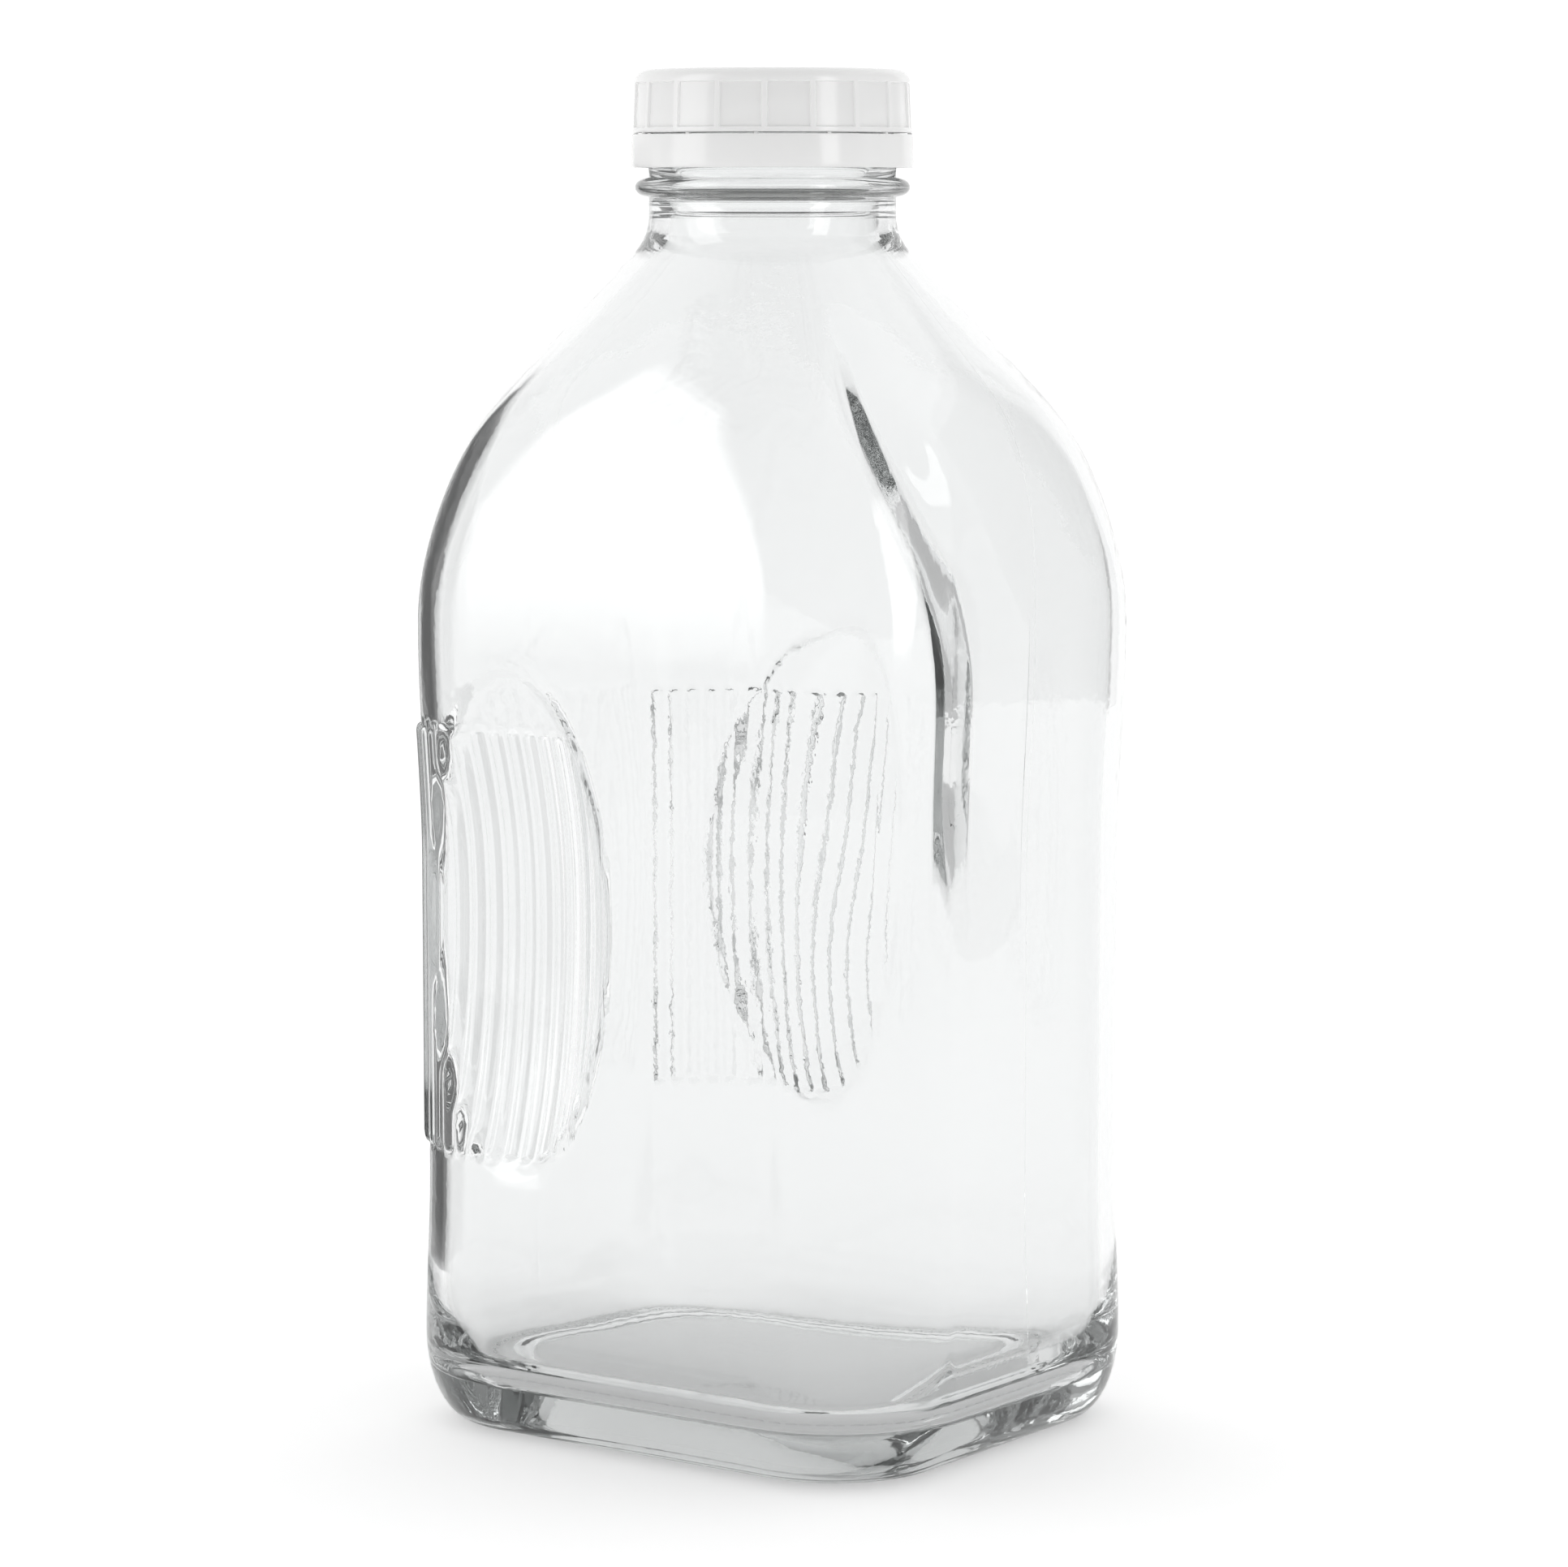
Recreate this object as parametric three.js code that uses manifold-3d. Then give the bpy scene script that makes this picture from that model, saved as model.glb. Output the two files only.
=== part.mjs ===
// A glass milk bottle with a screw cap, its sealing disc and its tamper band. Millimetres, +Z up.
// The origin is the centre of the base, on the surface that the bottle stands on.
// The two gripping hollows are on the -Y and +Y faces, near the -X corners.
import * as THREE from 'three';
import { mergeVertices } from 'three/addons/utils/BufferGeometryUtils.js';
import Module from 'manifold-3d';

const wasm = await Module();
wasm.setup();
const { clamp, lerp, smoothstep, degToRad } = THREE.MathUtils;

// The body: a rounded rectangle, 115 by 100 at the label panel
const body = { halfWidth: 57.5, halfDepth: 50, corner: 26, leastCorner: 16, wall: 2.9 };
const heel = { height: 17, inset: 8, bulge: 0.9, bulgeTop: 48 };
const base = { ringWidth: 6, slopeWidth: 4, pushUp: 3.5 };
const floor = { top: 9.5, curveWidth: 12, curveHeight: 14 };

// The shoulder: the flat faces swell, lean in and are cut by a round dome that runs up to the neck
const shoulder = { bulge: 1.6, bulgeFrom: 108, bulgeTop: 153, leanRadius: 300, ridge: 8, ridgeFull: 185 };
const dome = { radius: 67.2, start: 152.8, arc: 64, slope: degToRad(43), fillet: 10 };

// One gripping hollow, and the ribs in it that also run round the corner
const grip = { centreX: -24, centreZ: 98.8, halfWidth: 22.5, halfHeight: 48.8, depth: 8.5, edge: 0.75 };
const ribs = { count: 15, height: 1, low: 54, high: 134, ramp: 3, firstX: -5, cornerAngle: degToRad(65) };

// The neck finish, from the parting line up to the rim
const neck = { radius: 23.2, partingLine: 230, partingStep: 0.15, bore: 19.3, rim: 253.5, rimRound: 0.9 };
const transferBead = { radius: 25.8, centre: 234.4, halfHeight: 1.8 };
const lockingBead = { radius: 24.3, centre: 242.4, halfHeight: 1.1 };
const threadWall = { radius: 22.7, bottom: 244.2 };

// Four short threads side by side, cut with the same profile on the neck and, turned inwards, in the cap
const thread = { starts: 4, spacing: 3, rootHalf: 0.95, crestHalf: 0.45, bury: 0.4, low: 246.4 };
const threadEnd = { share: 0.25, fade: 10, step: 10 };
const neckThread = { height: 1.3, sweep: 120, turned: 0 };
const capThread = { height: 1.5, sweep: 100, turned: 45 };
const lead = thread.starts * thread.spacing;

// The cap and what is under it. Pieces that touch keep this gap
const gap = 0.3;
const cap = { bottom: 244.5, top: 256.2, foot: 26.2, shoulder: 25.8, round: 2.4 };
const capBore = { radius: 24.7, lip: 0.3, chamfer: 0.8, topWall: 1.2 };
const panels = { count: 18, firstRib: 2.5, ribHalf: 1, slope: 0.8, depth: 0.45, low: 245.4, high: 253.8 };
const liner = { radius: 23.6, thickness: 0.9 };
const band = { radius: 26.5, bore: 25.1, bottom: 238, top: 244.2, edge: 0.3 };
const bandLip = { radius: 23.7, low: 239.2, high: 240.5 };
const roundSegments = 48;

const glass = new THREE.MeshStandardMaterial({ color: 0xe8ecec, roughness: 0.05, metalness: 0 });
glass.transparent = true;
glass.opacity = 0.4;
const whitePlastic = new THREE.MeshStandardMaterial({ color: 0xf2f2f0, roughness: 0.35, metalness: 0 });
const foam = new THREE.MeshStandardMaterial({ color: 0xf6f6f4, roughness: 0.9, metalness: 0 });

// ---- solids ----

function toSolid(geometry) {
  const bare = geometry.clone();
  bare.deleteAttribute('normal');
  bare.deleteAttribute('uv');
  const merged = mergeVertices(bare, 1e-4);
  const triangles = [];
  for (let i = 0; i < merged.index.count; i += 3) {
    const corners = [0, 1, 2].map((k) => merged.index.getX(i + k));
    if (new Set(corners).size === 3) triangles.push(...corners);
  }
  const vertProperties = new Float32Array(merged.attributes.position.array);
  const triVerts = new Uint32Array(triangles);
  return new wasm.Manifold(new wasm.Mesh({ numProp: 3, vertProperties, triVerts }));
}

function toGeometry(solid) {
  const mesh = solid.getMesh();
  const geometry = new THREE.BufferGeometry();
  geometry.setAttribute('position', new THREE.BufferAttribute(mesh.vertProperties, 3));
  geometry.setIndex(new THREE.BufferAttribute(mesh.triVerts, 1));
  geometry.computeVertexNormals();
  return geometry;
}

// Turns an outline of [radius, height] points round the Z axis
function turned(outline, segments = roundSegments) {
  const points = outline.map(([radius, height]) => new THREE.Vector2(radius, height));
  return new THREE.LatheGeometry(points, segments).rotateX(Math.PI / 2);
}

// A closed skin over a stack of rings with the same number of points, ended by a point at each end
function skin(rings, firstPoint, lastPoint) {
  const count = rings[0].length;
  const last = rings.length * count + 1;
  const at = (ring, i) => 1 + ring * count + (i % count);
  const index = [];
  for (let i = 0; i < count; i++) {
    index.push(0, at(0, i + 1), at(0, i));
    for (let ring = 0; ring + 1 < rings.length; ring++) {
      index.push(at(ring, i), at(ring, i + 1), at(ring + 1, i + 1));
      index.push(at(ring, i), at(ring + 1, i + 1), at(ring + 1, i));
    }
    index.push(at(rings.length - 1, i), at(rings.length - 1, i + 1), last);
  }
  const geometry = new THREE.BufferGeometry().setFromPoints([firstPoint, ...rings.flat(), lastPoint]);
  geometry.setIndex(index);
  return geometry;
}

// ---- the shape of the glass ----

function smoothMin(a, b, width) {
  const overlap = Math.max(width - Math.abs(a - b), 0);
  return Math.min(a, b) - overlap ** 2 / (4 * width);
}

// Distance from the axis to a rounded rectangle, in the direction of an angle
function roundedRectangle(angle, halfX, halfY, corner) {
  const dx = Math.abs(Math.cos(angle));
  const dy = Math.abs(Math.sin(angle));
  const cx = halfX - corner;
  const cy = halfY - corner;
  if (dy * halfX <= dx * cy) return halfX / dx;
  if (dx * halfY <= dy * cx) return halfY / dy;
  const along = dx * cx + dy * cy;
  return along + Math.sqrt(along ** 2 - cx ** 2 - cy ** 2 + corner ** 2);
}

// How far the flat faces stand out from the label panel at a height
function faceBulge(z) {
  const atHeel = heel.bulge * (1 - smoothstep(z, heel.height, heel.bulgeTop));
  const atShoulder = shoulder.bulge * smoothstep(z, shoulder.bulgeFrom, shoulder.bulgeTop);
  const lean = Math.max(z - shoulder.bulgeTop, 0) ** 2 / (2 * shoulder.leanRadius);
  return atHeel + atShoulder - lean;
}

// Radius of the dome at a height: a large arc, a straight cone, then a fillet into the neck
function domeRadius(z) {
  const arcTop = dome.start + dome.arc * Math.sin(dome.slope);
  const arcTopRadius = dome.radius - dome.arc * (1 - Math.cos(dome.slope));
  const filletSpan = dome.fillet * Math.tan(dome.slope / 2);
  const filletTop = arcTop + (arcTopRadius - neck.radius) / Math.tan(dome.slope) + filletSpan;
  const filletLow = filletTop - dome.fillet * Math.sin(dome.slope);
  if (z < dome.start) return dome.radius;
  if (z < arcTop) return dome.radius - dome.arc + Math.sqrt(dome.arc ** 2 - (z - dome.start) ** 2);
  if (z < filletLow) return arcTopRadius - (z - arcTop) * Math.tan(dome.slope);
  if (z < filletTop) return neck.radius + dome.fillet - Math.sqrt(dome.fillet ** 2 - (filletTop - z) ** 2);
  return neck.radius;
}

function gripDepth(x, z) {
  const reach = ((x - grip.centreX) / grip.halfWidth) ** 2 + ((z - grip.centreZ) / grip.halfHeight) ** 2;
  return grip.depth * Math.max(1 - reach, 0) ** grip.edge;
}

// A point of the body's surface in the direction of an angle, moved in from the outer faces by an inset
function bodyPoint(angle, z, inset) {
  const grow = faceBulge(z) - inset;
  const corner = Math.max(body.corner + grow, body.leastCorner);
  const faces = roundedRectangle(angle, body.halfWidth + grow, body.halfDepth + grow, corner);
  const ridge = shoulder.ridge * smoothstep(z, shoulder.bulgeTop, shoulder.ridgeFull) + 0.5;
  const radius = smoothMin(faces, domeRadius(z) - inset, ridge);
  const point = new THREE.Vector3(radius * Math.cos(angle), radius * Math.sin(angle), z);
  point.y -= Math.sign(point.y) * gripDepth(point.x, z);
  return point;
}

// Columns of the front half, from the left face's centre to the right face's centre. Each has its angle
// round the axis, the way out of the outline there, and a rib's share of height: 1 on a crest, 0 in a valley
function frontColumns(gripSteps, ribbed) {
  const flatX = body.halfWidth - body.corner;
  const flatY = body.halfDepth - body.corner;
  const columns = [];
  const addPoint = (x, y, out, crest = 0) => columns.push({ angle: Math.atan2(y, x), x, out, crest });
  const addCorner = (side, turn, crest = 0) => {
    const out = new THREE.Vector3(side * Math.sin(turn), -Math.cos(turn), 0);
    addPoint(side * flatX + body.corner * out.x, -flatY + body.corner * out.y, out, crest);
  };
  const left = new THREE.Vector3(-1, 0, 0);
  const front = new THREE.Vector3(0, -1, 0);
  const right = new THREE.Vector3(1, 0, 0);
  [0, flatY / 2, flatY].forEach((y) => addPoint(-body.halfWidth, -y, left));
  const cornerLength = body.corner * ribs.cornerAngle;
  const gripLength = cornerLength + flatX + ribs.firstX;
  for (let i = 0; i <= gripSteps; i++) {
    const along = (gripLength * i) / gripSteps;
    const crest = ribbed ? i % 2 : 0;
    if (along < cornerLength) addCorner(-1, (cornerLength - along) / body.corner, crest);
    else addPoint(-flatX + along - cornerLength, -body.halfDepth, front, crest);
  }
  [0.25, 0.6, 1].forEach((share) => addPoint(share * flatX, -body.halfDepth, front));
  [18, 36, 54, 72, 90].forEach((turn) => addCorner(1, degToRad(turn)));
  [flatY / 2, 0].forEach((y) => addPoint(body.halfWidth, -y, right));
  return columns;
}

// All the columns round the body: the front half and its mirror image behind
function allColumns(gripSteps, ribbed) {
  const front = frontColumns(gripSteps, ribbed);
  const back = front.slice(1, -1).reverse().map((column) => ({
    ...column,
    angle: -column.angle,
    out: new THREE.Vector3(column.out.x, -column.out.y, 0),
  }));
  return [...front, ...back];
}

// Height of a rib's crest at a level: it fades out at both ends, which keep inside the hollow's outline
function ribHeight(column, z) {
  const across = (column.x - grip.centreX) / grip.halfWidth;
  const reach = across > 0 ? grip.halfHeight * Math.sqrt(Math.max(1 - across ** 2, 0)) : grip.halfHeight;
  const low = Math.max(ribs.low, grip.centreZ - reach + ribs.ramp);
  const high = Math.min(ribs.high, grip.centreZ + reach - ribs.ramp);
  const fade = clamp((z - low) / ribs.ramp, 0, 1) * clamp((high - z) / ribs.ramp, 0, 1);
  return column.crest * ribs.height * fade;
}

function ringAt(columns, z, inset) {
  return columns.map((column) => {
    const point = bodyPoint(column.angle, z, inset);
    return point.addScaledVector(column.out, ribHeight(column, z));
  });
}

// Levels of a quarter ellipse from the bottom edge up to the full width, as [height, inset]
function heelCurve(bottom, height, width, steps) {
  return Array.from({ length: steps + 1 }, (unused, i) => {
    const turn = (Math.PI / 2) * (1 - i / steps);
    return [bottom + height * (1 - Math.sin(turn)), width * (1 - Math.cos(turn))];
  });
}

const ribEndLevels = [ribs.low, ribs.low + ribs.ramp, ribs.high - ribs.ramp, ribs.high];
const gripLevels = [50, 66, 77, 88, 99, 110, 121, 141, 147.6];
const shoulderLevels = [154, 163, 172, 181, 190, 199, 210, 220, 224.5, 227];

function outerBody() {
  const columns = allColumns(2 * ribs.count, true);
  const ringInset = heel.inset + base.ringWidth;
  const foot = [[base.pushUp, ringInset + base.slopeWidth], [0, ringInset]];
  const levels = [...foot, ...heelCurve(0, heel.height, heel.inset, 4)];
  const wallLevels = [31, ...gripLevels, ...ribEndLevels, ...shoulderLevels].sort((a, b) => a - b);
  wallLevels.forEach((z) => levels.push([z, 0]));
  levels.push([neck.partingLine, -neck.partingStep]);
  const rings = levels.map(([z, inset]) => ringAt(columns, z, inset));
  return skin(rings, new THREE.Vector3(0, 0, base.pushUp), new THREE.Vector3(0, 0, neck.partingLine));
}

// The space inside: the wall thickens from the body to the neck's bore, which runs on past the rim
function innerBody() {
  const columns = allColumns(10, false);
  const rimPast = neck.rim + 2;
  const neckWall = neck.radius - neck.bore;
  const wallAt = (z) => lerp(body.wall, neckWall, smoothstep(z, dome.start, shoulderLevels.at(-1)));
  const floorCurve = heelCurve(floor.top, floor.curveHeight, floor.curveWidth, 4);
  const levels = floorCurve.map(([z, inset]) => [z, inset + body.wall]);
  const wallLevels = [...gripLevels, ribs.high, ...shoulderLevels].sort((a, b) => a - b);
  wallLevels.forEach((z) => levels.push([z, wallAt(z)]));
  levels.push([rimPast, wallAt(rimPast)]);
  const rings = levels.map(([z, inset]) => columns.map((column) => bodyPoint(column.angle, z, inset)));
  return skin(rings, new THREE.Vector3(0, 0, floor.top), new THREE.Vector3(0, 0, rimPast));
}

// Points of a bead's round back, as [radius, height]
function beadOutline(bead, wallRadius, steps) {
  return Array.from({ length: steps + 1 }, (unused, i) => {
    const turn = Math.PI * (i / steps - 0.5);
    const radius = wallRadius + (bead.radius - wallRadius) * Math.cos(turn);
    return [radius, bead.centre + bead.halfHeight * Math.sin(turn)];
  });
}

function neckFinish() {
  const start = neck.partingLine - 4;
  return turned([
    [0, start],
    [neck.radius, start],
    ...beadOutline(transferBead, neck.radius, 5),
    ...beadOutline(lockingBead, neck.radius, 3),
    [threadWall.radius, threadWall.bottom],
    [threadWall.radius, neck.rim - neck.rimRound],
    [threadWall.radius - neck.rimRound / 3, neck.rim - neck.rimRound / 3],
    [threadWall.radius - neck.rimRound, neck.rim],
    [0, neck.rim],
  ]);
}

// One thread: a straight ridge, bent round the axis and up the lead. It stands out from wallRadius by
// height, or inwards when side is -1, and lies down at both ends
function threadRidge(wallRadius, side, { height, sweep, turned: turn }, start) {
  const { rootHalf, crestHalf, bury } = thread;
  const outline = new THREE.Shape([
    new THREE.Vector2(-rootHalf, -bury),
    new THREE.Vector2(rootHalf, -bury),
    new THREE.Vector2(crestHalf, height),
    new THREE.Vector2(-crestHalf, height),
  ]);
  const steps = Math.round(sweep / threadEnd.step);
  const ridge = new THREE.ExtrudeGeometry(outline, { depth: sweep, steps, bevelEnabled: false });
  const points = ridge.attributes.position;
  for (let i = 0; i < points.count; i++) {
    const along = points.getZ(i);
    const rise = points.getY(i);
    const fade = clamp(threadEnd.share + Math.min(along, sweep - along) / threadEnd.fade, 0, 1);
    const radius = wallRadius + side * (rise > 0 ? rise * fade : rise);
    const angle = degToRad(turn + (start * 360) / thread.starts + along);
    const z = thread.low + side * points.getX(i) + (lead * along) / 360;
    points.setXYZ(i, radius * Math.cos(angle), radius * Math.sin(angle), z);
  }
  return toSolid(ridge);
}

function addThreads(solid, wallRadius, side, size) {
  let joined = solid;
  for (let start = 0; start < thread.starts; start++) {
    joined = joined.add(threadRidge(wallRadius, side, size, start));
  }
  return joined;
}

function glassBottle() {
  const outside = toSolid(outerBody()).add(toSolid(neckFinish()));
  const threaded = addThreads(outside, threadWall.radius, 1, neckThread);
  return toGeometry(threaded.subtract(toSolid(innerBody())));
}

// ---- the closure ----

// Columns round the cap: for each panel its rib's two edges, then the panel's near edge, middle and far edge
function capColumns() {
  const pitch = 360 / panels.count;
  const sunk = panels.ribHalf + panels.slope;
  const columns = [];
  for (let i = 0; i < panels.count; i++) {
    const rib = panels.firstRib + i * pitch;
    columns.push({ angle: degToRad(rib - panels.ribHalf), sunk: 0 });
    columns.push({ angle: degToRad(rib + panels.ribHalf), sunk: 0 });
    [sunk, pitch / 2, pitch - sunk].forEach((turn) => columns.push({ angle: degToRad(rib + turn), sunk: 1 }));
  }
  return columns;
}

function capOutside() {
  const skirtHeight = cap.top - cap.round - cap.bottom;
  const wallRadius = (z) => lerp(cap.foot, cap.shoulder, (z - cap.bottom) / skirtHeight);
  const ring = (z, radius, depth) => capColumns().map(({ angle, sunk }) => {
    const reach = radius - depth * sunk;
    return new THREE.Vector3(reach * Math.cos(angle), reach * Math.sin(angle), z);
  });
  const slope = panels.depth;
  const rings = [
    ring(cap.bottom, cap.foot, 0),
    ring(panels.low, wallRadius(panels.low), 0),
    ring(panels.low + slope, wallRadius(panels.low + slope), panels.depth),
    ring(panels.high - slope, wallRadius(panels.high - slope), panels.depth),
  ];
  for (const turn of [0, 30, 60, 90].map(degToRad)) {
    const radius = cap.shoulder - cap.round * (1 - Math.cos(turn));
    rings.push(ring(cap.top - cap.round * (1 - Math.sin(turn)), radius, 0));
  }
  return skin(rings, new THREE.Vector3(0, 0, cap.bottom), new THREE.Vector3(0, 0, cap.top));
}

function capInside() {
  const { radius, lip, chamfer, topWall } = capBore;
  const ceiling = cap.top - topWall;
  return turned([
    [0, cap.bottom - 1],
    [radius + lip, cap.bottom - 1],
    [radius + lip, cap.bottom],
    [radius, cap.bottom + lip],
    [radius, ceiling - chamfer],
    [radius - chamfer, ceiling],
    [0, ceiling],
  ]);
}

function screwCap() {
  const shell = toSolid(capOutside()).subtract(toSolid(capInside()));
  return toGeometry(addThreads(shell, capBore.radius, -1, capThread));
}

function capLiner() {
  const bottom = neck.rim + gap;
  const top = bottom + liner.thickness;
  return turned([[0, bottom], [liner.radius, bottom], [liner.radius, top], [0, top]]);
}

function tamperBand() {
  const { radius, bore, bottom, top, edge } = band;
  return turned([
    [bore, bottom],
    [radius - edge, bottom],
    [radius, bottom + edge],
    [radius, top - edge],
    [radius - edge, top],
    [bore, top],
    [bore, bandLip.high + edge],
    [bandLip.radius, bandLip.high],
    [bandLip.radius, bandLip.low],
    [bore, bandLip.low - edge],
    [bore, bottom],
  ]);
}

function named(name, geometry, material) {
  const mesh = new THREE.Mesh(geometry, material);
  mesh.name = name;
  return mesh;
}

const bottle = new THREE.Group();
bottle.add(named('glass_bottle', glassBottle(), glass));

const closure = new THREE.Group();
closure.add(named('screw_cap', screwCap(), whitePlastic));
closure.add(named('cap_liner', capLiner(), foam));
closure.add(named('tamper_band', tamperBand(), whitePlastic));
bottle.add(closure);

export default bottle;
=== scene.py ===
# A glass milk bottle with a white screw cap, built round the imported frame. Metres in the scene, and
# millimetres in the dictionaries, which mm turns into metres.
import math
import bmesh
import bpy
from mathutils import Matrix, Vector


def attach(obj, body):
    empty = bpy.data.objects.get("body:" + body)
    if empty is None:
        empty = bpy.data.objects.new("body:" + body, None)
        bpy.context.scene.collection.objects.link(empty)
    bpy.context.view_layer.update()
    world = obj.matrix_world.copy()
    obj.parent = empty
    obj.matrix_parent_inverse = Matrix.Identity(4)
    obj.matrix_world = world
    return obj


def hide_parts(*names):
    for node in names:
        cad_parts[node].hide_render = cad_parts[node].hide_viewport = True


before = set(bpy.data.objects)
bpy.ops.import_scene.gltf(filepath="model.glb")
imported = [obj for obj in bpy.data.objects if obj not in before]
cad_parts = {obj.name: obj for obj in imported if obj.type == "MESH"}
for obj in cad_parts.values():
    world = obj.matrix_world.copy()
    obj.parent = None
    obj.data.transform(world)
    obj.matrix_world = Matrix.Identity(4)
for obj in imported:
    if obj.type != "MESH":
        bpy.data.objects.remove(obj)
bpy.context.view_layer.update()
mm = 0.001
print("frame loaded:", sorted(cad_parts))


# small helpers for shapes

def clamp(value, low=0.0, high=1.0):
    return max(low, min(high, value))


def smoothStep(value, start, end):
    t = clamp((value - start) / (end - start))
    return t * t * (3 - 2 * t)


def mix(a, b, share):
    return a + (b - a) * share


def evenSteps(start, end, count):
    # count values after start, the last one at end
    return [mix(start, end, (i + 1) / count) for i in range(count)]


def arcPoints(centre, radii, startTurn, endTurn, count):
    # [radius, height] points on an ellipse arc, turns in degrees from the outward direction
    turns = [math.radians(mix(startTurn, endTurn, i / count)) for i in range(count + 1)]
    return [(centre[0] + radii[0] * math.cos(t), centre[1] + radii[1] * math.sin(t)) for t in turns]


def finishPiece(bm, name, body, node, material, sharpAngle=None):
    bmesh.ops.recalc_face_normals(bm, faces=bm.faces)
    mesh = bpy.data.meshes.new(name)
    bm.to_mesh(mesh)
    bm.free()
    for face in mesh.polygons:
        face.use_smooth = True
    if sharpAngle is not None:
        mesh.set_sharp_from_angle(angle=math.radians(sharpAngle))
    piece = bpy.data.objects.new(name, mesh)
    bpy.context.scene.collection.objects.link(piece)
    mesh.materials.append(material)
    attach(piece, body)
    if node:
        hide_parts(node)
    triangles = sum(len(face.vertices) - 2 for face in mesh.polygons)
    print("made", name, "with", triangles, "triangles")
    return piece


def spinRound(bm, sectors):
    # turns the wire in bm round the axis, one spin for each (degrees, steps) sector, and closes its seam
    # and its poles
    turning = list(bm.verts) + list(bm.edges)
    for degrees, steps in sectors:
        made = bmesh.ops.spin(
            bm, geom=turning, cent=(0, 0, 0), axis=(0, 0, 1),
            angle=math.radians(degrees), steps=steps, use_merge=degrees == 360,
        )
        turning = made["geom_last"]
    bmesh.ops.remove_doubles(bm, verts=bm.verts, dist=1e-7)


def turnMatrix(degrees):
    return Matrix.Rotation(math.radians(degrees), 3, "Z")


def wireFrom(bm, points, layer=None):
    made = []
    for index, (radius, height) in enumerate(points):
        vert = bm.verts.new((radius, 0, height))
        if layer is not None:
            vert[layer] = index
        made.append(vert)
    for first, second in zip(made, made[1:]):
        bm.edges.new((first, second))
    return made


# materials

def newMaterial(name):
    material = bpy.data.materials.new(name)
    material.use_nodes = True
    nodes = material.node_tree.nodes
    return material, nodes, material.node_tree.links, nodes["Principled BSDF"]


def addNode(nodes, kind, **settings):
    node = nodes.new(kind)
    for key, value in settings.items():
        if key in node.inputs:
            node.inputs[key].default_value = value
        else:
            setattr(node, key, value)
    return node


def makeCloudGroup():
    # a slow and a fine noise: a value round the middle for tints, and a mask for smudges
    group = bpy.data.node_groups.new("cloudAndSmudge", "ShaderNodeTree")
    face = group.interface
    face.new_socket("Vector", in_out="INPUT", socket_type="NodeSocketVector")
    size = face.new_socket("Cloud Scale", in_out="INPUT", socket_type="NodeSocketFloat")
    size.default_value = 20
    fine = face.new_socket("Smudge Scale", in_out="INPUT", socket_type="NodeSocketFloat")
    fine.default_value = 60
    face.new_socket("Cloud", in_out="OUTPUT", socket_type="NodeSocketFloat")
    face.new_socket("Smudge", in_out="OUTPUT", socket_type="NodeSocketFloat")
    nodes, links = group.nodes, group.links
    start = nodes.new("NodeGroupInput")
    end = nodes.new("NodeGroupOutput")
    cloud = addNode(nodes, "ShaderNodeTexNoise", Detail=2.0, Roughness=0.5)
    smudge = addNode(nodes, "ShaderNodeTexNoise", Detail=5.0, Roughness=0.65)
    cut = addNode(nodes, "ShaderNodeMapRange", interpolation_type="SMOOTHSTEP")
    cut.inputs["From Min"].default_value = 0.55
    cut.inputs["From Max"].default_value = 0.75
    links.new(start.outputs["Vector"], cloud.inputs["Vector"])
    links.new(start.outputs["Vector"], smudge.inputs["Vector"])
    links.new(start.outputs["Cloud Scale"], cloud.inputs["Scale"])
    links.new(start.outputs["Smudge Scale"], smudge.inputs["Scale"])
    links.new(smudge.outputs["Fac"], cut.inputs["Value"])
    links.new(cloud.outputs["Fac"], end.inputs["Cloud"])
    links.new(cut.outputs["Result"], end.inputs["Smudge"])
    return group


cloudGroup = makeCloudGroup()


def addClouds(nodes, links, cloudScale, smudgeScale):
    place = nodes.new("ShaderNodeTexCoord")
    clouds = nodes.new("ShaderNodeGroup")
    clouds.node_tree = cloudGroup
    clouds.inputs["Cloud Scale"].default_value = cloudScale
    clouds.inputs["Smudge Scale"].default_value = smudgeScale
    links.new(place.outputs["Object"], clouds.inputs["Vector"])
    return clouds


def mixColours(nodes, links, factor, first, second):
    blend = addNode(nodes, "ShaderNodeMix", data_type="RGBA")
    blend.inputs["A"].default_value = (*first, 1)
    blend.inputs["B"].default_value = (*second, 1)
    links.new(factor, blend.inputs["Factor"])
    return blend.outputs["Result"]


def spread(nodes, links, value, low, high):
    # stretches a 0 to 1 value over low to high
    span = nodes.new("ShaderNodeMapRange")
    span.inputs["To Min"].default_value = low
    span.inputs["To Max"].default_value = high
    links.new(value, span.inputs["Value"])
    return span.outputs["Result"]


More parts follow.
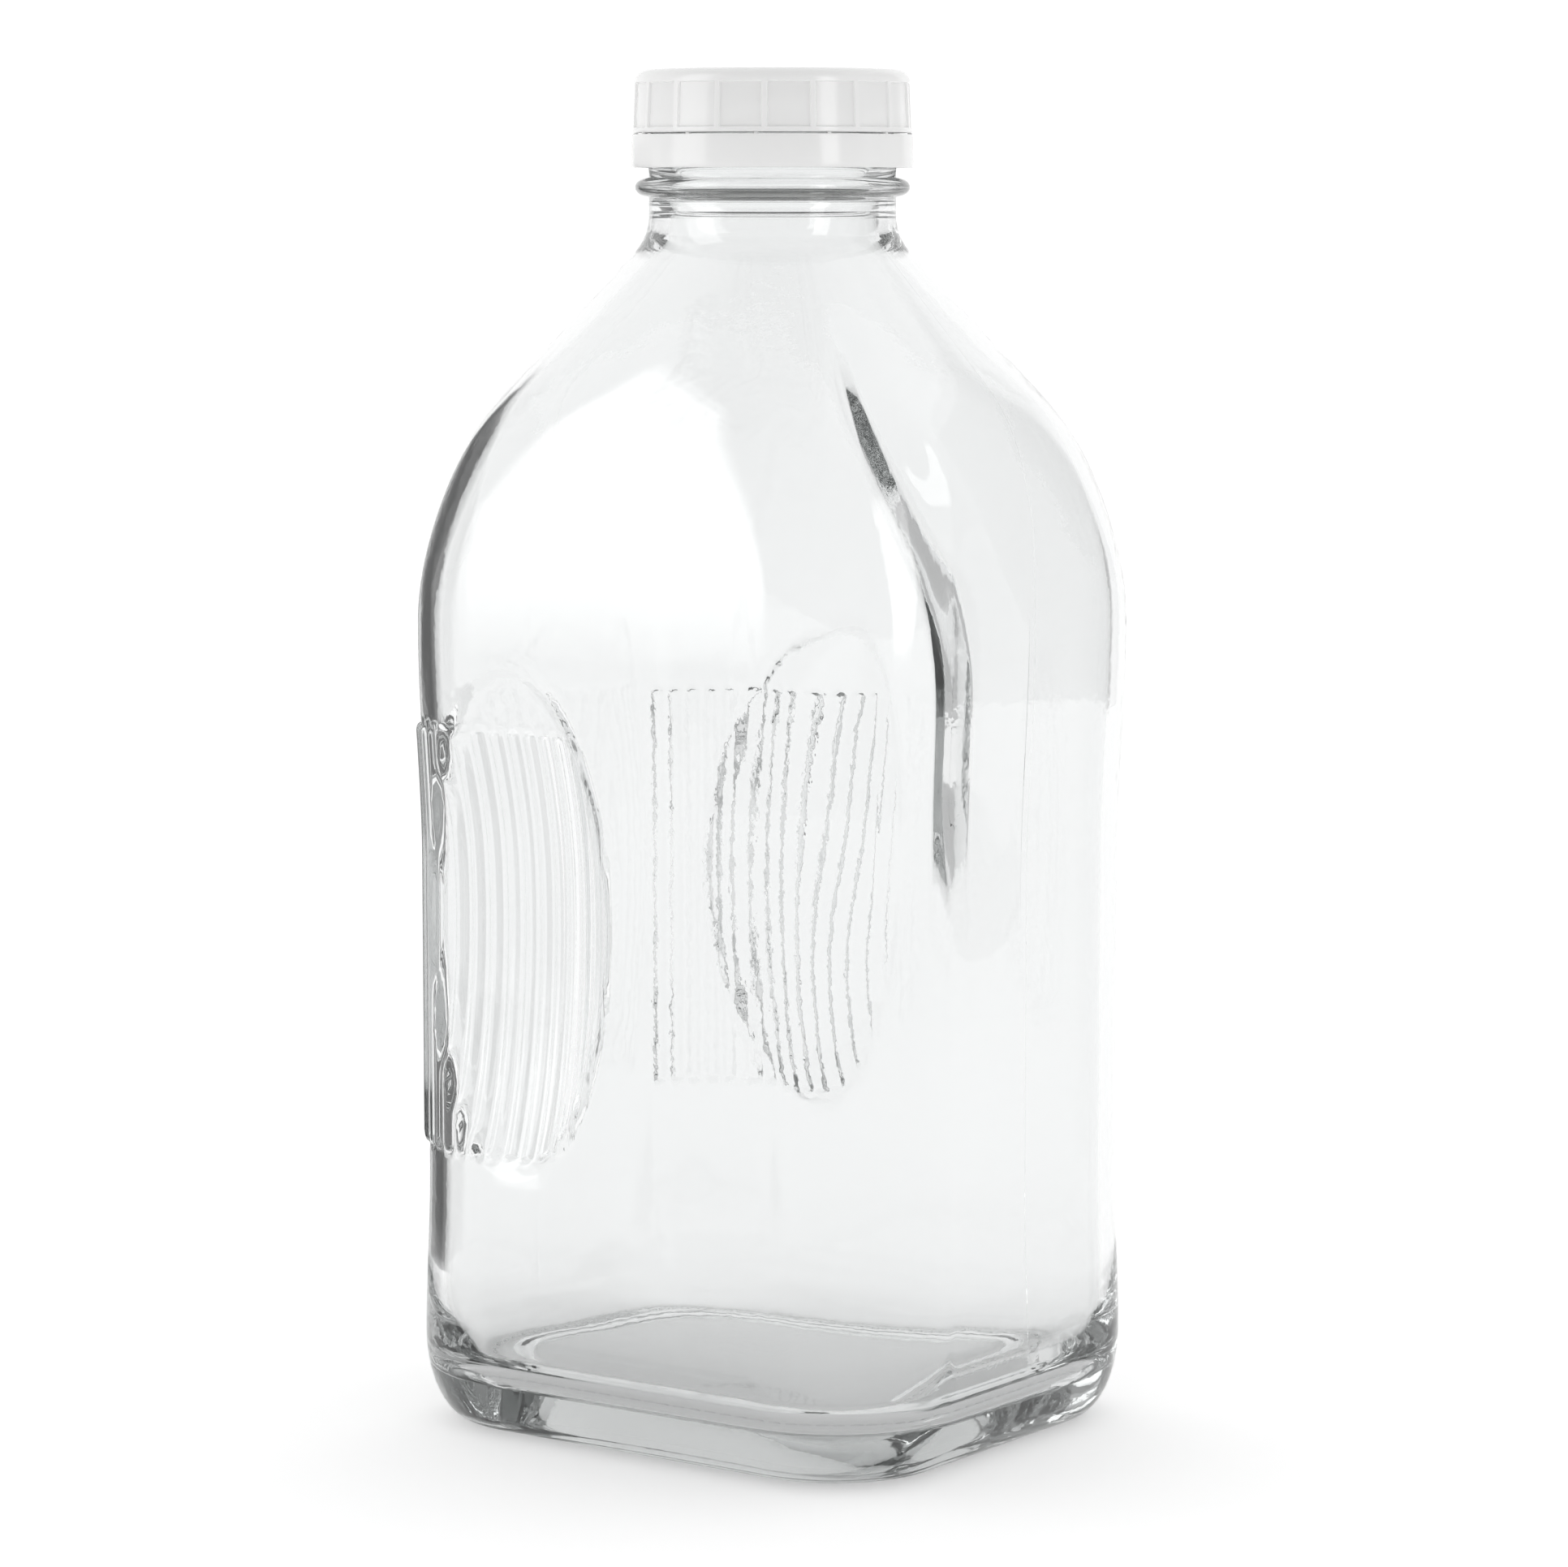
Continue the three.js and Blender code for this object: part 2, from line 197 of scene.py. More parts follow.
def makeGlass():
    material, nodes, links, shader = newMaterial("clearBottleGlass")
    clouds = addClouds(nodes, links, glassLook["cloudScale"], glassLook["smudgeScale"])
    shader.inputs["Transmission Weight"].default_value = 1.0
    shader.inputs["IOR"].default_value = glassLook["ior"]
    absorb = addNode(nodes, "ShaderNodeVolumeAbsorption", Density=glassLook["absorbDensity"])
    absorb.inputs["Color"].default_value = (*glassLook["absorbColour"], 1)
    links.new(absorb.outputs["Volume"], nodes["Material Output"].inputs["Volume"])
    tint = mixColours(nodes, links, clouds.outputs["Cloud"], glassLook["tintLow"], glassLook["tintHigh"])
    links.new(tint, shader.inputs["Base Color"])
    rough = spread(nodes, links, clouds.outputs["Smudge"], 0.0, glassLook["smudgeRough"])
    links.new(rough, shader.inputs["Roughness"])
    ripples = addClouds(nodes, links, glassLook["rippleScale"], glassLook["smudgeScale"])
    fine = addNode(nodes, "ShaderNodeBump", Distance=glassLook["rippleHeight"])
    slow = addNode(nodes, "ShaderNodeBump", Distance=glassLook["waveHeight"])
    links.new(ripples.outputs["Cloud"], fine.inputs["Height"])
    links.new(clouds.outputs["Cloud"], slow.inputs["Height"])
    links.new(fine.outputs["Normal"], slow.inputs["Normal"])
    links.new(slow.outputs["Normal"], shader.inputs["Normal"])
    return material


def makePlastic(name, look):
    material, nodes, links, shader = newMaterial(name)
    clouds = addClouds(nodes, links, look["cloudScale"], look["grainScale"])
    tint = mixColours(nodes, links, clouds.outputs["Cloud"], look["tintLow"], look["tintHigh"])
    links.new(tint, shader.inputs["Base Color"])
    rough = spread(nodes, links, clouds.outputs["Smudge"], look["roughLow"], look["roughHigh"])
    links.new(rough, shader.inputs["Roughness"])
    shader.inputs["Subsurface Weight"].default_value = look["glow"]
    shader.inputs["Subsurface Radius"].default_value = (look["reach"], look["reach"], look["reach"])
    shader.inputs["Subsurface Scale"].default_value = 1.0
    bump = nodes.new("ShaderNodeBump")
    bump.inputs["Strength"].default_value = look["grain"]
    bump.inputs["Distance"].default_value = look["grainHeight"]
    links.new(clouds.outputs["Smudge"], bump.inputs["Height"])
    links.new(bump.outputs["Normal"], shader.inputs["Normal"])
    return material


glassLook = {
    "tintLow": (0.89, 0.896, 0.896), "tintHigh": (0.925, 0.931, 0.931),
    "absorbColour": (0.5, 0.515, 0.512), "absorbDensity": 11.0, "ior": 1.52,
    "cloudScale": 14, "smudgeScale": 70, "smudgeRough": 0.03,
    "waveHeight": 0.0001, "rippleHeight": 0.000012, "rippleScale": 380,
}
capLook = {
    "tintLow": (0.9, 0.9, 0.895), "tintHigh": (0.95, 0.95, 0.945), "cloudScale": 30, "grainScale": 900,
    "roughLow": 0.14, "roughHigh": 0.22, "glow": 0.3, "reach": 0.003, "grain": 0.05, "grainHeight": 0.0001,
}
linerLook = {
    "tintLow": (0.86, 0.86, 0.84), "tintHigh": (0.94, 0.94, 0.92), "cloudScale": 60, "grainScale": 1400,
    "roughLow": 0.8, "roughHigh": 0.95, "glow": 0.0, "reach": 0.003, "grain": 0.6, "grainHeight": 0.0001,
}
clearGlass = makeGlass()
capPlastic = makePlastic("capPlastic", capLook)
bandPlastic = makePlastic("bandPlastic", capLook)
linerFoam = makePlastic("linerFoam", linerLook)
print("materials made")


# the bottle's mould: where its skin is, by angle round the axis and height

mould = {
    "halfWidth": 57.5, "halfDepth": 50, "corner": 26, "leastCorner": 16, "wall": 2.9,
    "cornerFill": 0.4,
    "heelHeight": 17, "heelInset": 8, "heelBulge": 0.9, "heelBulgeTop": 48,
    "shoulderBulge": 1.6, "bulgeFrom": 108, "bulgeTop": 153, "leanRadius": 300,
    "ridgeLow": 0.5, "ridge": 8, "ridgeFull": 185, "fillFades": 205, "fillGone": 225, "wallThins": 227,
    "seamHeight": 0.03, "seamHalf": 0.5, "seamFrom": 3, "seamFull": 6,
}
wave = {
    "low": 92, "lowFull": 128, "highFull": 191, "high": 210, "start": -6, "width": 12, "thick": 2.0,
    "slope": 0.21, "curve": 0.0045, "runUp": 24, "runOutFrom": 6, "runOutTo": 26,
    "climbFrom": 142, "climbTo": 202, "climb": 20, "tipScale": 0.5,
}
dome = {"radius": 67.2, "start": 152.8, "arc": 64, "slope": math.radians(43), "fillet": 10}
grip = {
    "centreX": -24, "centreZ": 98.8, "halfWidth": 22.5, "halfHeight": 48.8, "depth": 8.5,
    "edge": 0.75, "soft": 0.16,
}
ribs = {
    "count": 15, "height": 1.0, "low": 54, "high": 134, "round": 1.8, "margin": 3, "blunt": 0.7,
    "firstX": -5, "corner": math.radians(65),
}
base = {
    "ringLift": 0.5, "ringWidth": 6, "pushUp": 3.5, "slope": 4,
    "floorTop": 9.5, "floorWidth": 12, "floorHeight": 14,
}
neck = {
    "radius": 23.2, "partingZ": 230, "partingStep": 0.15, "partingHeight": 0.1, "straightTo": 231.6,
    "bore": 19.3, "boreLow": 231, "rim": 253.5, "rimRound": 0.9,
}
# each bead's radius, middle height and half height
beads = {
    "transfer": (25.8, 234.4, 1.8), "locking": (24.3, 242.4, 1.1),
    "threadWall": 22.7, "threadFrom": 244.2, "stepFrom": 243.8, "stepTaper": 0.1,
}
thread = {
    "starts": 4, "spacing": 3, "rootHalf": 0.95, "crestHalf": 0.45, "low": 246.4,
    "blunt": 3, "fade": 13,
}
neckThread = {"height": 1.3, "sweep": 120, "turned": 0}
capThread = {"height": 1.5, "sweep": 100, "turned": 45}


def smoothMin(a, b, width):
    overlap = max(width - abs(a - b), 0)
    return min(a, b) - overlap ** 2 / (4 * width)


def roundedRectangle(angle, halfX, halfY, corner):
    dx, dy = abs(math.cos(angle)), abs(math.sin(angle))
    cx, cy = halfX - corner, halfY - corner
    if dy * halfX <= dx * cy:
        return halfX / dx
    if dx * halfY <= dy * cx:
        return halfY / dy
    along = dx * cx + dy * cy
    return along + math.sqrt(along ** 2 - cx ** 2 - cy ** 2 + corner ** 2)


def faceBulge(z):
    atHeel = mould["heelBulge"] * (1 - smoothStep(z, mould["heelHeight"], mould["heelBulgeTop"]))
    atShoulder = mould["shoulderBulge"] * smoothStep(z, mould["bulgeFrom"], mould["bulgeTop"])
    lean = max(z - mould["bulgeTop"], 0) ** 2 / (2 * mould["leanRadius"])
    return atHeel + atShoulder - lean


def domeRadius(z):
    slope, arc, fillet = dome["slope"], dome["arc"], dome["fillet"]
    arcTop = dome["start"] + arc * math.sin(slope)
    arcTopRadius = dome["radius"] - arc * (1 - math.cos(slope))
    filletTop = arcTop + (arcTopRadius - neck["radius"]) / math.tan(slope) + fillet * math.tan(slope / 2)
    if z < dome["start"]:
        return dome["radius"]
    if z < arcTop:
        return dome["radius"] - arc + math.sqrt(arc ** 2 - (z - dome["start"]) ** 2)
    if z < filletTop - fillet * math.sin(slope):
        return arcTopRadius - (z - arcTop) * math.tan(slope)
    if z < filletTop:
        return neck["radius"] + fillet - math.sqrt(fillet ** 2 - (filletTop - z) ** 2)
    return neck["radius"]


def waveThickness(angle, z):
    # inside the front right corner the glass is thick on the end face and thin round the corner
    dx, dy = math.cos(angle), -math.sin(angle)
    if dx <= 0 or dy <= 0:
        return 0
    reach = roundedRectangle(angle, mould["halfWidth"], mould["halfDepth"], mould["corner"])
    x = reach * dx - mould["halfWidth"] + mould["corner"]
    y = reach * dy - mould["halfDepth"] + mould["corner"]
    along = y
    if y > 0:
        along = mould["corner"] * math.atan2(y, max(x, 0)) + max(-x, 0)
    climb = smoothStep(z, wave["climbFrom"], wave["climbTo"])
    along = (along - wave["climb"] * climb - wave["start"]) / mix(1, wave["tipScale"], climb)
    share = smoothStep(z, wave["low"], wave["lowFull"])
    share *= 1 - smoothStep(z, wave["highFull"], wave["high"])
    if along < 0:
        return share * wave["thick"] * smoothStep(along, -wave["runUp"], 0)
    across = min(along, wave["width"])
    thin = wave["thick"] - wave["slope"] * across - wave["curve"] * across ** 2
    past = along - wave["width"]
    return share * thin * (1 - smoothStep(past, wave["runOutFrom"], wave["runOutTo"]))


def gripDepth(x, z):
    across = (x - grip["centreX"]) / grip["halfWidth"]
    up = (z - grip["centreZ"]) / grip["halfHeight"]
    inside = max(1 - across ** 2 - up ** 2, 0)
    return grip["depth"] * inside ** grip["edge"] * smoothStep(inside, 0, grip["soft"])


def mouldPoint(angle, z, inset, share):
    grow = faceBulge(z) - inset
    corner = max(mould["corner"] + grow, mould["leastCorner"])
    inside = clamp(inset / mould["wall"])
    corner += mould["cornerFill"] * inside * (1 - smoothStep(z, mould["fillFades"], mould["fillGone"]))
    faces = roundedRectangle(angle, mould["halfWidth"] + grow, mould["halfDepth"] + grow, corner)
    ridge = mould["ridge"] * smoothStep(z, mould["bulgeTop"], mould["ridgeFull"]) + mould["ridgeLow"]
    radius = smoothMin(faces, domeRadius(z) - inset, ridge) * share
    if inside and z > wave["low"]:
        radius -= waveThickness(angle, z)
    x, y = radius * math.cos(angle), radius * math.sin(angle)
    y -= math.copysign(gripDepth(x, z), y)
    return Vector((x, y, z))


def ribPlace(angle):
    # how far along the ribbed stretch a direction is, its x there, and the way out of the outline
    dx, dy = math.cos(angle), math.sin(angle)
    side = math.copysign(1, dy)
    reach = roundedRectangle(angle, mould["halfWidth"], mould["halfDepth"], mould["corner"])
    x, y = reach * dx, abs(reach * dy)
    flatX = mould["halfWidth"] - mould["corner"]
    flatY = mould["halfDepth"] - mould["corner"]
    if x > -flatX:
        return ribs["firstX"] - x, x, Vector((0, side, 0))
    turn = math.atan2(-x - flatX, y - flatY)
    along = ribs["firstX"] + flatX + mould["corner"] * turn
    return along, x, Vector((-math.sin(turn), side * math.cos(turn), 0))


ribLength = ribs["firstX"] + mould["halfWidth"] - mould["corner"] + mould["corner"] * ribs["corner"]


def ribHeight(along, x, z):
    if not 0 < along < ribLength:
        return 0
    across = (x - grip["centreX"]) / grip["halfWidth"]
    reach = grip["halfHeight"] * (math.sqrt(max(1 - across ** 2, 0)) if across > 0 else 1)
    reach -= ribs["margin"]
    low = max(ribs["low"], grip["centreZ"] - reach)
    high = min(ribs["high"], grip["centreZ"] + reach)
    end = clamp(min(z - low, high - z) / ribs["round"])
    crest = 0.5 - 0.5 * math.cos(2 * math.pi * along * ribs["count"] / ribLength)
    return ribs["height"] * crest ** ribs["blunt"] * math.sqrt(1 - (1 - end) ** 2)


def seamRise(angle, z):
    # the faint line where the two mould halves meet, up the middle of the end faces
    reach = mould["halfWidth"] * abs(math.sin(angle))
    fade = smoothStep(z, mould["seamFrom"], mould["seamFull"])
    return mould["seamHeight"] * fade * clamp(1 - reach / mould["seamHalf"])


def threadRise(angle, z, size):
    # height of the nearest thread at a direction and level
    best = 0
    for start in range(thread["starts"]):
        turn = (math.degrees(angle) - size["turned"] - start * 360 / thread["starts"]) % 360
        if turn > size["sweep"]:
            continue
        middle = thread["low"] + thread["starts"] * thread["spacing"] * turn / 360
        flank = (thread["rootHalf"] - abs(z - middle)) / (thread["rootHalf"] - thread["crestHalf"])
        end = clamp((min(turn, size["sweep"] - turn) + thread["blunt"]) / thread["fade"])
        best = max(best, size["height"] * clamp(flank) * end)
    return best


# the glass bottle: a round blank with every level of the mould, spun, then pressed to the mould

def heelLevels(bottom, height, width, wall, count):
    levels = []
    for i in range(count + 1):
        turn = math.pi / 2 * (1 - i / count)
        z = bottom + height * (1 - math.sin(turn))
        levels.append(("body", z, wall + width * (1 - math.cos(turn)), 1))
    return levels


def wallLevels(detail):
    # heights up the wall from the heel to the neck, closer together where the skin turns
    stretches = [(17, 48, 7), (48, 54, 4), (54, 56, 5), (56, 132, 42), (132, 134, 5), (134, 152, 11),
                 (152, 196, 20), (196, 218, 8), (218, 229.9, 9)]
    heights = []
    for start, end, count in stretches:
        heights += evenSteps(start, end, max(2, round(count * detail)))
    return heights


def wallThickness(z):
    atNeck = neck["radius"] - neck["bore"]
    return mix(mould["wall"], atNeck, smoothStep(z, dome["start"], mould["wallThins"]))


def outerLevels():
    ring = mould["heelInset"] + base["ringWidth"]
    levels = [("body", base["pushUp"], ring + base["slope"], share) for share in (0, 0.5, 0.9)]
    for i in range(7):
        turn = math.pi * i / 6
        height = mix(base["ringLift"], base["pushUp"], 0.5 + 0.5 * math.cos(turn))
        levels.append(("body", height, ring + base["slope"] * (1 - i / 6), 1))
    lift = base["ringLift"]
    levels += [("body", lift, inset, 1) for inset in evenSteps(ring, mould["heelInset"], 4)[:-1]]
    levels += heelLevels(lift, mould["heelHeight"] - lift, mould["heelInset"], 0, 11)
    levels += [("body", z, 0, 1) for z in wallLevels(1)]
    return levels


def neckLevels():
    wall = neck["radius"]
    points = [(wall + neck["partingStep"], neck["partingZ"])]
    points += [(wall, neck["partingZ"] + neck["partingHeight"]), (wall, neck["straightTo"])]
    for radius, middle, half in (beads["transfer"], beads["locking"]):
        points += arcPoints((wall, middle), (radius - wall, half), -90, 90, 9)
    points += [(wall - beads["stepTaper"], beads["stepFrom"]), (beads["threadWall"], beads["threadFrom"])]
    rimZ = neck["rim"] - neck["rimRound"]
    points += [(beads["threadWall"], z) for z in evenSteps(beads["threadFrom"], rimZ, 19)[:-1]]
    edge = neck["rimRound"]
    points += arcPoints((beads["threadWall"] - edge, rimZ), (edge, edge), 0, 90, 4)
    points += arcPoints((neck["bore"] + edge, rimZ), (edge, edge), 90, 180, 4)
    points += [(neck["bore"], z) for z in evenSteps(rimZ, neck["boreLow"], 4)]
    return [("neck", height, radius, 1) for radius, height in points]


def innerLevels():
    levels = [("body", z, wallThickness(z), 1) for z in reversed(wallLevels(0.62))]
    floor = heelLevels(base["floorTop"], base["floorHeight"], base["floorWidth"], mould["wall"], 12)
    levels += [level for level in reversed(floor) if level[1] < mould["heelHeight"]]
    inset = mould["wall"] + base["floorWidth"]
    return levels + [("body", base["floorTop"], inset, share) for share in (0.85, 0.5, 0)]


def pressToMould(vert, level):
    kind, z, size, share = level
    angle = math.atan2(vert.co.y, vert.co.x)
    if kind == "neck":
        radius = size
        if beads["threadFrom"] < z < neck["rim"] - neck["rimRound"] and size > neck["bore"] + 1:
            radius += threadRise(angle, z, neckThread)
        return Vector((radius * math.cos(angle), radius * math.sin(angle), z))
    point = mouldPoint(angle, z, size, share)
    if size == 0:
        along, x, out = ribPlace(angle)
        point += out * (ribHeight(along, x, z) + seamRise(angle, z))
    return point


def makeBottle():
    levels = outerLevels() + neckLevels() + innerLevels()
    bm = bmesh.new()
    layer = bm.verts.layers.int.new("level")
    blank = [((1 if level[3] else 0), index) for index, level in enumerate(levels)]
    wireFrom(bm, blank, layer)
    # fine columns at the two seams and across the ribs, starting at the middle of the right face
    back = [(0.5, 3), (93, 38), (54.5, 104), (31.5, 13), (0.5, 3)]
    front = [(0.5, 3), (31.5, 13), (54.5, 104), (55.5, 22), (25, 48), (12.5, 6), (0.5, 3)]
    spinRound(bm, back + front)
    for vert in bm.verts:
        vert.co = pressToMould(vert, levels[vert[layer]]) * mm
    return finishPiece(bm, "glassBottleBody", "bottle", "glass_bottle", clearGlass)


makeBottle()


# the small crescents under the bearing ring, which the bottle stands on

stipples = {
    "spacing": 3.5, "halfLength": 1.35, "halfWidth": 0.6, "bend": 0.4, "overlap": 0.05, "steps": 720,
}


def ringPlaces():
    # points evenly spaced along the middle of the bearing ring, each with its outward direction
    inset = mould["heelInset"] + base["ringWidth"] / 2
    turns = [2 * math.pi * i / stipples["steps"] for i in range(stipples["steps"] + 1)]
    path = [mouldPoint(turn, 0, inset, 1) for turn in turns]
    steps = [(b - a).length for a, b in zip(path, path[1:])]
    count = round(sum(steps) / stipples["spacing"])
    places, walked = [], 0
    for here, after, step in zip(path, path[1:], steps):
        if walked * count >= len(places) * sum(steps):
            ahead = after - here
            places.append((here, math.atan2(-ahead.x, ahead.y)))
        walked += step
    return places[:count]


def makeStipples():
    bm = bmesh.new()
    lift = base["ringLift"]
    for place, turn in ringPlaces():
        made = bmesh.ops.create_uvsphere(bm, u_segments=12, v_segments=6, radius=1)["verts"]
        for vert in made:
            out, along, up = vert.co
            bend = stipples["bend"] * along ** 2
            vert.co = (out * stipples["halfWidth"] - bend, along * stipples["halfLength"], up)
            vert.co.z *= stipples["overlap"] if up > 0 else lift
        bmesh.ops.rotate(bm, verts=made, cent=(0, 0, 0), matrix=Matrix.Rotation(turn, 3, "Z"))
        bmesh.ops.translate(bm, verts=made, vec=(place.x, place.y, lift))
    bmesh.ops.scale(bm, verts=bm.verts, vec=(mm, mm, mm))
    return finishPiece(bm, "bearingStipples", "bottle", None, clearGlass)


makeStipples()


# the screw cap

cap = {
    "bottom": 244.5, "top": 256.2, "foot": 26.2, "shoulder": 25.8, "round": 2.4,
    "bore": 24.7, "topWall": 1.2,
    "panels": 18, "firstRib": 2.5, "ribHalf": 1.0, "panelLow": 245.4, "panelHigh": 253.9,
    "panelEdge": 0.22, "panelDepth": 0.42,
    "gateDepth": 0.25, "gateFloor": 1.1, "gateSlope": 1.5, "gateEdge": 2.2, "topMiddle": 18,
    "lipOut": 0.2, "lipIn": 0.35, "lipRise": 0.25, "boreRise": 0.4,
    "cornerCut": 0.7, "cornerDrop": 0.8, "sealReach": 3, "skirtWall": 0.6,
}


def skirtRadius(z):
    height = cap["top"] - cap["round"] - cap["bottom"]
    return mix(cap["foot"], cap["shoulder"], (z - cap["bottom"]) / height)


def capProfile():
    corner = cap["round"]
    ceiling = cap["top"] - cap["topWall"]
    # the small gate mark in the middle of the top, then the top and the skirt
    gate = cap["top"] - cap["gateDepth"]
    points = [(0, gate), (cap["gateFloor"], gate)]
    points += [(cap["gateSlope"], cap["top"] - 0.02), (cap["gateEdge"], cap["top"])]
    points += [(cap["topMiddle"], cap["top"])]
    points += arcPoints((cap["shoulder"] - corner, cap["top"] - corner), (corner, corner), 90, 0, 10)
    skirtLevels = (cap["panelHigh"] - 0.4, cap["panelLow"], cap["bottom"] + cap["lipRise"])
    points += [(skirtRadius(z), z) for z in skirtLevels]
    points += [(cap["foot"] - cap["lipOut"], cap["bottom"]), (cap["bore"] + cap["lipIn"], cap["bottom"])]
    boreLow = cap["bottom"] + cap["boreRise"]
    points += [(cap["bore"], boreLow)]
    points += [(cap["bore"], z) for z in evenSteps(boreLow, ceiling - cap["cornerDrop"], 26)]
    points += [(cap["bore"] - cap["cornerCut"], ceiling), (cap["bore"] - cap["sealReach"], ceiling)]
    return points + [(0, ceiling)]


def panelFaces(bm):
    # the wide faces between the skirt's ribs
    chosen = []
    low, high = cap["panelLow"] * mm, cap["panelHigh"] * mm
    pitch = 360 / cap["panels"]
    for face in bm.faces:
        middle = face.calc_center_median()
        outside = math.hypot(middle.x, middle.y) > (cap["bore"] + cap["skirtWall"]) * mm
        turn = math.degrees(math.atan2(middle.y, middle.x)) - cap["firstRib"]
        turn = (turn + pitch / 2) % pitch - pitch / 2
        if outside and low < middle.z < high and abs(turn) > cap["ribHalf"]:
            chosen.append(face)
    return chosen


def makeCap():
    bm = bmesh.new()
    wireFrom(bm, [(radius * mm, height * mm) for radius, height in capProfile()])
    pitch = 360 / cap["panels"]
    start = cap["firstRib"] + cap["ribHalf"]
    bmesh.ops.rotate(bm, verts=bm.verts, cent=(0, 0, 0), matrix=turnMatrix(start))
    spinRound(bm, [(pitch - 2 * cap["ribHalf"], 9), (2 * cap["ribHalf"], 2)] * cap["panels"])
    for vert in bm.verts:
        radius = math.hypot(vert.co.x, vert.co.y)
        if abs(radius - cap["bore"] * mm) < 1e-6:
            angle = math.atan2(vert.co.y, vert.co.x)
            rise = threadRise(angle, vert.co.z / mm, capThread) * mm
            vert.co.x -= rise * math.cos(angle)
            vert.co.y -= rise * math.sin(angle)
    sunk = panelFaces(bm)
    bmesh.ops.recalc_face_normals(bm, faces=bm.faces)
    edge, sink = cap["panelEdge"] * mm, cap["panelDepth"] * mm
    bmesh.ops.inset_region(bm, faces=sunk, thickness=edge, depth=-sink, use_even_offset=True)
    return finishPiece(bm, "screwCapShell", "cap", "screw_cap", capPlastic, 30)


makeCap()

# the sealing disc under the cap

liner = {
    "radius": 23.6, "low": 253.8, "high": 254.7, "round": 0.15,
    "rimMark": 0.05, "markOuter": 22.6, "markInner": 19.6, "markSlope": 0.3, "middle": 8,
}


def makeLiner():
    edge = liner["round"]
    points = [(0, liner["high"]), (liner["middle"], liner["high"])]
    points += arcPoints((liner["radius"] - edge, liner["high"] - edge), (edge, edge), 90, 0, 3)
    points += arcPoints((liner["radius"] - edge, liner["low"] + edge), (edge, edge), 0, -90, 3)
    mark = liner["low"] + liner["rimMark"]
    points += [(liner["markOuter"], liner["low"]), (liner["markOuter"] - liner["markSlope"], mark)]
    points += [(liner["markInner"] + liner["markSlope"], mark), (liner["markInner"], liner["low"])]
    points += [(liner["middle"], liner["low"]), (0, liner["low"])]
    bm = bmesh.new()
    wireFrom(bm, [(radius * mm, height * mm) for radius, height in points])
    spinRound(bm, [(360, 96)])
    return finishPiece(bm, "sealingDisc", "liner", "cap_liner", linerFoam, 40)


makeLiner()

# the tamper band

band = {
    "radius": 26.5, "bore": 25.1, "low": 238.0, "high": 244.2, "edge": 0.25,
    "lip": 23.7, "lipLow": 239.2, "lipHigh": 240.5,
    "bridges": 12, "bridgeDegrees": 1.6, "bridgeRise": 0.25,
    "straightFrom": 239.1, "straightTo": 241.5, "taper": 0.1,
    "topCut": 0.3, "lipSlope": 0.4, "lipRound": 0.2, "lipCorner": 0.3, "footCut": 0.1,
}


def bandProfile():
    edge = band["edge"]
    outer = band["radius"] - edge
    points = arcPoints((outer, band["low"] + edge), (edge, edge), -90, 0, 4)
    points += [(band["radius"], band["straightFrom"]), (band["radius"] - 0.02, band["straightTo"])]
    points += arcPoints((outer - band["taper"], band["high"] - edge), (edge, edge), 0, 90, 4)
    cut, slope = band["topCut"], band["lipSlope"]
    points += [(band["bore"] + cut, band["high"]), (band["bore"], band["high"] - cut)]
    points += [(band["bore"], band["lipHigh"] + slope), (band["lip"] + band["lipRound"], band["lipHigh"])]
    corner = band["lipCorner"]
    points += [(band["lip"], band["lipHigh"] - corner), (band["lip"], band["lipLow"] + corner)]
    points += [(band["lip"] + band["lipRound"], band["lipLow"]), (band["bore"], band["lipLow"] - slope)]
    foot = band["footCut"]
    return points + [(band["bore"], band["low"] + foot), (band["bore"] + foot, band["low"])]


def makeBand():
    bm = bmesh.new()
    points = wireFrom(bm, [(radius * mm, height * mm) for radius, height in bandProfile()])
    bm.edges.new((points[-1], points[0]))
    pitch = 360 / band["bridges"]
    gap = pitch - band["bridgeDegrees"]
    spinRound(bm, [(gap, 14), (band["bridgeDegrees"], 1)] * band["bridges"])
    bm.normal_update()
    bridges = []
    for face in bm.faces:
        middle = face.calc_center_median()
        turn = math.degrees(math.atan2(middle.y, middle.x)) % pitch
        if middle.z > (band["high"] - 0.01) * mm and turn > gap:
            bridges.append(face)
    made = bmesh.ops.extrude_discrete_faces(bm, faces=bridges)
    for face in made["faces"]:
        bmesh.ops.translate(bm, verts=face.verts, vec=(0, 0, band["bridgeRise"] * mm))
    return finishPiece(bm, "tamperRing", "band", "tamper_band", bandPlastic, 35)


makeBand()


# stage, light and camera

studio = {
    "floorSize": 30.0, "floorColour": 0.92, "floorGlow": 0.3,
    "backLight": 1.1, "cameraSideLight": 0.62, "turnFrom": -0.6, "turnTo": 0.3, "throughBottle": 0.2,
    "azimuth": 35.8, "distance": 0.976, "height": 0.2345, "pitch": 6.58, "yaw": 0.126, "lens": 118.8,
}
# flat cards round the bottle, seen only in its glass and gloss: azimuth, distance, width, low, high,
# light in the middle, and how far in its sides and its ends fade
cards = {
    "leftSoftbox": (-36, 1.3, 0.95, -0.08, 1.9, 2.8, 0.2, 0.32),
    "rightSoftbox": (83, 1.3, 0.42, -0.05, 1.3, 3.6, 0.07, 0.25),
    "leftFlag": (-90, 0.16, 0.125, -0.02, 0.26, 0.14, 0.02, 0.04),
    "rightFlag": (147, 1.0, 0.98, -0.1, 1.2, 0.55, 0.15, 0.15),
}


